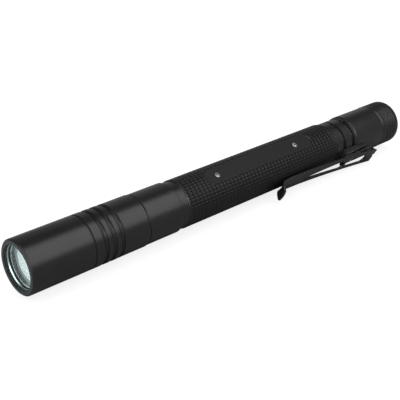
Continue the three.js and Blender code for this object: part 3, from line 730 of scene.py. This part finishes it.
# Half the width of the bend's slot or of a window at a station, nought where the strip is whole.
def slotHalf(station):
    past = (clip["bendStation"] + clip["bendSlotStart"] - station) / clip["bendSlotReach"]
    if past < 1:
        return clip["bendSlot"] * math.sqrt(1 - max(0, past) ** 2)
    for start, end, startHalf, endHalf in clip["slots"]:
        if start < station < end:
            if station < start + startHalf:
                return math.sqrt(startHalf**2 - (start + startHalf - station) ** 2)
            if station > end - endHalf:
                return math.sqrt(endHalf**2 - (station - end + endHalf) ** 2)
            share = (station - start - startHalf) / (end - endHalf - start - startHalf)
            return startHalf + (endHalf - startHalf) * share
    return 0.0


# Points of the quadratic curve from a to c that leans toward b.
def bezier(a, b, c, t):
    t = np.asarray(t)[:, None]
    return (1 - t) ** 2 * np.array(a) + 2 * t * (1 - t) * np.array(b) + t * t * np.array(c)


# The foot, the bend, the arm and then the tip, in that order.
def clipStations():
    rows = []
    bendOut = clip["footMiddle"] + clip["bendRadius"]
    for station in np.linspace(clip["bendStation"] - clip["footLength"], clip["bendStation"], 12)[:-1]:
        rows.append((station, clip["footMiddle"], 0, -1, 0, clip["footHalf"], 0))
    leanTurn = 90 - math.degrees(math.atan(clip["slope"]))
    for turn in np.radians(np.linspace(-90, leanTurn, 22)):
        x, out = math.cos(turn), math.sin(turn)
        half = clip["footHalf"] + (clip["bendHalf"] - clip["footHalf"]) * (turn / math.pi + 0.5)
        half -= clip["bendRound"] * max(0, x) ** 2
        slot = clip["bendSlot"] * math.sqrt(max(0, 1 - (min(0, turn) / clip["bendSlotTurn"]) ** 2))
        middle = (clip["bendStation"] + clip["bendRadius"] * x, bendOut + clip["bendRadius"] * out)
        rows.append((*middle, x, out, 0, half, slot))
    start = rows[-1][:2]
    low = (clip["bendStation"] - clip["reach"], clip["armLow"])
    bowRise = start[1] - clip["armLow"] - clip["bow"]
    bow = (start[0] - bowRise / clip["slope"], clip["armLow"] + clip["bow"])
    share = np.linspace(0, 1, fineSteps)
    dense = bezier(start, bow, low, share)
    order = np.arange(fineSteps)
    slopes = np.gradient(dense, axis=0)
    picks = list(np.arange(low[0], start[0] - 0.1, 0.5))
    slotTurns = np.radians(np.linspace(20, 90, 7))
    bendSlotFrom = clip["bendStation"] + clip["bendSlotStart"]
    picks += list(bendSlotFrom - clip["bendSlotReach"] * np.sin(slotTurns))
    for slotStart, slotEnd, startHalf, endHalf in clip["slots"]:
        turns = np.radians(np.linspace(0, 90, 9))
        picks += list(slotStart + startHalf * (1 - np.cos(turns)))
        picks += list(slotEnd - endHalf * (1 - np.cos(turns)))
    for station in sorted(set(np.round(picks, 5)), reverse=True):
        k = np.interp(-station, -dense[:, 0], order)
        out = np.interp(k, order, dense[:, 1])
        along = np.array([np.interp(k, order, slopes[:, i]) for i in (0, 1)])
        along /= np.linalg.norm(along)
        t = np.interp(k, order, share)
        half = clip["bendHalf"] + (clip["armHalf"] - clip["bendHalf"]) * min(1, 2 * t)
        half -= clip["taper"] * max(0, 1 - (station - low[0]) / clip["taperReach"]) ** 2
        arch = clip["arch"] * min(1, clip["archGrowth"] * t)
        rows.append((station, out, along[1], -along[0], arch, half, slotHalf(station)))
    tip = (low[0] - clip["tipReach"], clip["armLow"] + clip["tipRise"])
    toe = (low[0] - clip["tipReach"] * clip["toeShare"], clip["armLow"] - clip["toeDrop"])
    shares = 1 - (1 - np.linspace(0, 1, 36)[1:]) ** clip["tipEasing"]
    flare = bezier(low, toe, tip, shares)
    steps = bezier(low, toe, tip, np.linspace(0, 1, 400))
    length = np.linalg.norm(np.diff(steps, axis=0), axis=1).sum()
    slopes = np.gradient(np.concatenate([[low], flare]), axis=0)[1:]
    for (station, out), along, t in zip(flare, slopes, shares):
        along = along / np.linalg.norm(along)
        into = max(0, clip["tipRound"] - length * (1 - t)) / clip["tipRound"]
        rounding = 1 - math.sqrt(max(0, 1 - into**2))
        half = clip["armHalf"] - clip["taper"] - clip["tipRound"] * clip["tipRounding"] * rounding
        rows.append((station, out, along[1], -along[0], clip["arch"], half, 0))
    return rows


# One half of the strip's section, from the slot or the middle line to the edge, first
# over the outer face and then back over the inner one. The edges are rounded off.
def halfSection(row, side):
    station, out, normalX, normalOut, arch, half, slot = row
    lift, edge = clip["thick"] / 2, clip["edge"]
    slotEdge = min(edge, slot)
    spread = np.linspace(slot + slotEdge, half - edge, sectionSpread)
    face = np.full(sectionSpread, lift)
    across = np.concatenate([[slot], spread, [half], [half], spread[::-1], [slot]])
    level = [[lift - slotEdge], face, [lift - edge], [edge - lift], -face, [slotEdge - lift]]
    level = np.concatenate(level)
    turn = across * arch
    drop = (1 - np.cos(turn)) / arch if arch > 0 else 0 * turn
    sideways = np.sin(turn) / arch if arch > 0 else across
    rise = level * np.cos(turn) - drop
    width = sideways + level * np.sin(turn)
    return onSide(station + normalX * rise, side * width, out + normalOut * rise, clipAngle)


# The two halves meet on the middle line where there is no slot.
def makeClip():
    rows = clipStations()
    count = sectionCount
    points, faces = [], []
    for side in (1, -1):
        base = len(points) * count
        points += [halfSection(row, side) for row in rows]
        for i in range(len(rows) - 1):
            a = base + i * count
            for k in range(a, a + count - 1):
                faces.append((k, k + 1, k + count + 1, k + count))
            if rows[i][-1] > 0 or rows[i + 1][-1] > 0:
                faces.append((a + count - 1, a, a + count, a + 2 * count - 1))
        for i in (0, len(rows) - 1):
            faces.append(tuple(base + i * count + k for k in range(count)))
    spec = {
        "name": "pocketClip", "material": clipFinish, "slot": "black_spring_steel",
        "replaces": ["pocket_clip", "clip_foot"],
    }
    return addPiece(spec, np.concatenate(points), faces)


pocketClip = makeClip()
# Points on the middle line where the foot and the arm meet the bend.
bendFoot, bendArm = [
    Vector(onSide(station, 0, out, clipAngle).tolist())
    for station, out in (clip["blendFoot"], clip["blendArm"])
]
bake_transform(pocketClip)

clipScrews = (
    ("clipScrewFront", "clip_screw_front", 114.9), ("clipScrewRear", "clip_screw_rear", 118.9),
)
for name, node, station in clipScrews:
    screwPiece({
        "name": name, "body": "tail", "replaces": [node], "slot": "bright_steel", "material": steelFinish,
        "station": station, "seat": padTop + 0.625, "angle": clipAngle, "head": 1.3, "height": 0.4,
        "shank": 0.75, "depth": 2.2, "arm": 0.2, "reach": 0.9, "recess": 0.28,
    })
print("stage: clip built")

# Pieces that keep their CAD shape get their finish here.
keptFinishes = {
    "led_spacer": whiteFinish, "led_emitter": emitterFinish, "led_board": whiteFinish,
    "heat_sink": brassFinish, "driver_board": boardFinish, "front_contact": brassFinish,
    "front_seal": rubberFinish, "rear_seal": rubberFinish, "front_cell": cellFinish,
    "rear_cell": cellFinish, "tail_spring": brassFinish, "contact_plate": brassFinish,
    "switch_body": blackPlasticFinish, "switch_plunger": whiteFinish,
}
for nodeName, finish in keptFinishes.items():
    nodes[nodeName].data.materials.clear()
    nodes[nodeName].data.materials.append(finish)
print("stage: inner pieces finished")


# Floor that curves up into a low backdrop all round. The camera and reflections see it
# white, and other light sees it pale grey. Close to the part occlusion darkens that white,
# a painted contact shadow, and reflections see it dimmer still, painted shade that the
# part's underside mirrors.
def makeFloor():
    inner, edge, rise, sides = 0.4, 2.4, 1.2, 64
    curve = np.radians(np.linspace(0, 80, 9))
    rings = [(inner, 0), (edge, 0)]
    rings += [(edge + rise * math.sin(t), rise * (1 - math.cos(t))) for t in curve[1:]]
    turn = np.radians(np.arange(sides) * 360 / sides)
    points = [(r * math.cos(t), r * math.sin(t), z) for r, z in rings for t in turn]
    last = len(rings) - 1
    faces = [tuple(range(sides))]
    faces += joinRings(zip(range(1, last + 1), range(last)), sides)
    mesh = bpy.data.meshes.new("floor")
    mesh.from_pydata(points, [], faces)
    floor = bpy.data.objects.new("floor", mesh)
    bpy.context.scene.collection.objects.link(floor)
    material = bpy.data.materials.new("floorWhite")
    material.use_nodes = True
    tree = material.node_tree
    shader = tree.nodes["Principled BSDF"]
    shader.inputs["Base Color"].default_value = (0.55, 0.55, 0.55, 1)
    shader.inputs["Roughness"].default_value = 0.9
    path = tree.nodes.new("ShaderNodeLightPath")
    seen = path.outputs["Is Camera Ray"]
    for other in ("Is Glossy Ray", "Is Transmission Ray"):
        either = tree.nodes.new("ShaderNodeMath")
        either.operation = "MAXIMUM"
        tree.links.new(seen, either.inputs[0])
        tree.links.new(path.outputs[other], either.inputs[1])
        seen = either.outputs["Value"]
    share = tree.nodes.new("ShaderNodeMath")
    share.operation = "MULTIPLY"
    share.inputs[1].default_value = 0.85
    tree.links.new(seen, share.inputs[0])
    # Painted contact shadow: occlusion turns the floor's glow down close to the part.
    near = tree.nodes.new("ShaderNodeAmbientOcclusion")
    near.inputs["Distance"].default_value = 0.022
    direct = mapRange(tree, near.outputs["AO"], 0.95, 1.18)
    deep = mapRange(tree, path.outputs["Glossy Depth"], 0.5, 1, (1, 2))
    mirroredFloorShade = mapRange(tree, near.outputs["AO"], 0, 1, (0.3, 1))
    tree.links.new(deep, mirroredFloorShade.node.inputs["To Max"])
    level = tree.nodes.new("ShaderNodeMix")
    tree.links.new(path.outputs["Is Glossy Ray"], level.inputs["Factor"])
    tree.links.new(direct, level.inputs["A"])
    tree.links.new(mirroredFloorShade, level.inputs["B"])
    glow = tree.nodes.new("ShaderNodeEmission")
    tree.links.new(level.outputs["Result"], glow.inputs["Strength"])
    mix = tree.nodes.new("ShaderNodeMixShader")
    tree.links.new(share.outputs["Value"], mix.inputs["Fac"])
    tree.links.new(shader.outputs["BSDF"], mix.inputs[1])
    tree.links.new(glow.outputs["Emission"], mix.inputs[2])
    tree.links.new(mix.outputs["Shader"], tree.nodes["Material Output"].inputs["Surface"])
    mesh.materials.append(material)


makeFloor()

# World: a dim even light.
world = bpy.data.worlds.new("studio")
bpy.context.scene.world = world
world.use_nodes = True
background = world.node_tree.nodes["Background"]
background.inputs["Color"].default_value = (1, 1, 1, 1)
background.inputs["Strength"].default_value = 0.12


# A rectangular light that faces its target.
def addLight(name, place, target, size, power):
    data = bpy.data.lights.new(name, "AREA")
    data.shape = "RECTANGLE"
    data.size, data.size_y = size
    data.energy = power
    light = bpy.data.objects.new(name, data)
    light.location = place
    light.rotation_mode = "QUATERNION"
    light.rotation_quaternion = (Vector(target) - Vector(place)).to_track_quat("-Z", "Y")
    bpy.context.scene.collection.objects.link(light)


# The panel spans the directions that the photo's highlight band reflects.
addLight("panel", (0.23, -0.28, 0.387), (0.23, 0, 0.007), (0.42, 0.66), 3.5)
addLight("frontCard", (-0.55, -0.12, 0.22), (-0.07, 0, 0.007), (0.8, 0.8), 5.0)
addLight("backCard", (0.5, 0.55, 0.4), (0, 0, 0.007), (0.5, 0.5), 0.25)
addLight("frontKey", (-0.40, -0.24, 0.17), (-0.07, 0, 0.007), (0.12, 0.12), 0.8)

# Camera at the photo's place, solved from the photo's outlines and rings.
camera = bpy.data.objects.new("camera", bpy.data.cameras.new("camera"))
bpy.context.scene.collection.objects.link(camera)
camera.data.sensor_width = 36
camera.data.lens = 76.894
camera.data.clip_start, camera.data.clip_end = 0.01, 20
forward = Vector((0.60406, 0.66048, -0.44595)).normalized()
right = Vector((0.73792, -0.67489, 0)).normalized()
up = right.cross(forward).normalized()
place = (frontX - 0.083442, axisY - 0.154538, axisZ + 0.102633)
camera.matrix_world = Matrix.Translation(place) @ Matrix((right, up, -forward)).transposed().to_4x4()
bpy.context.scene.camera = camera
bpy.context.scene.view_settings.view_transform = "Standard"
print("stage: light and camera set")
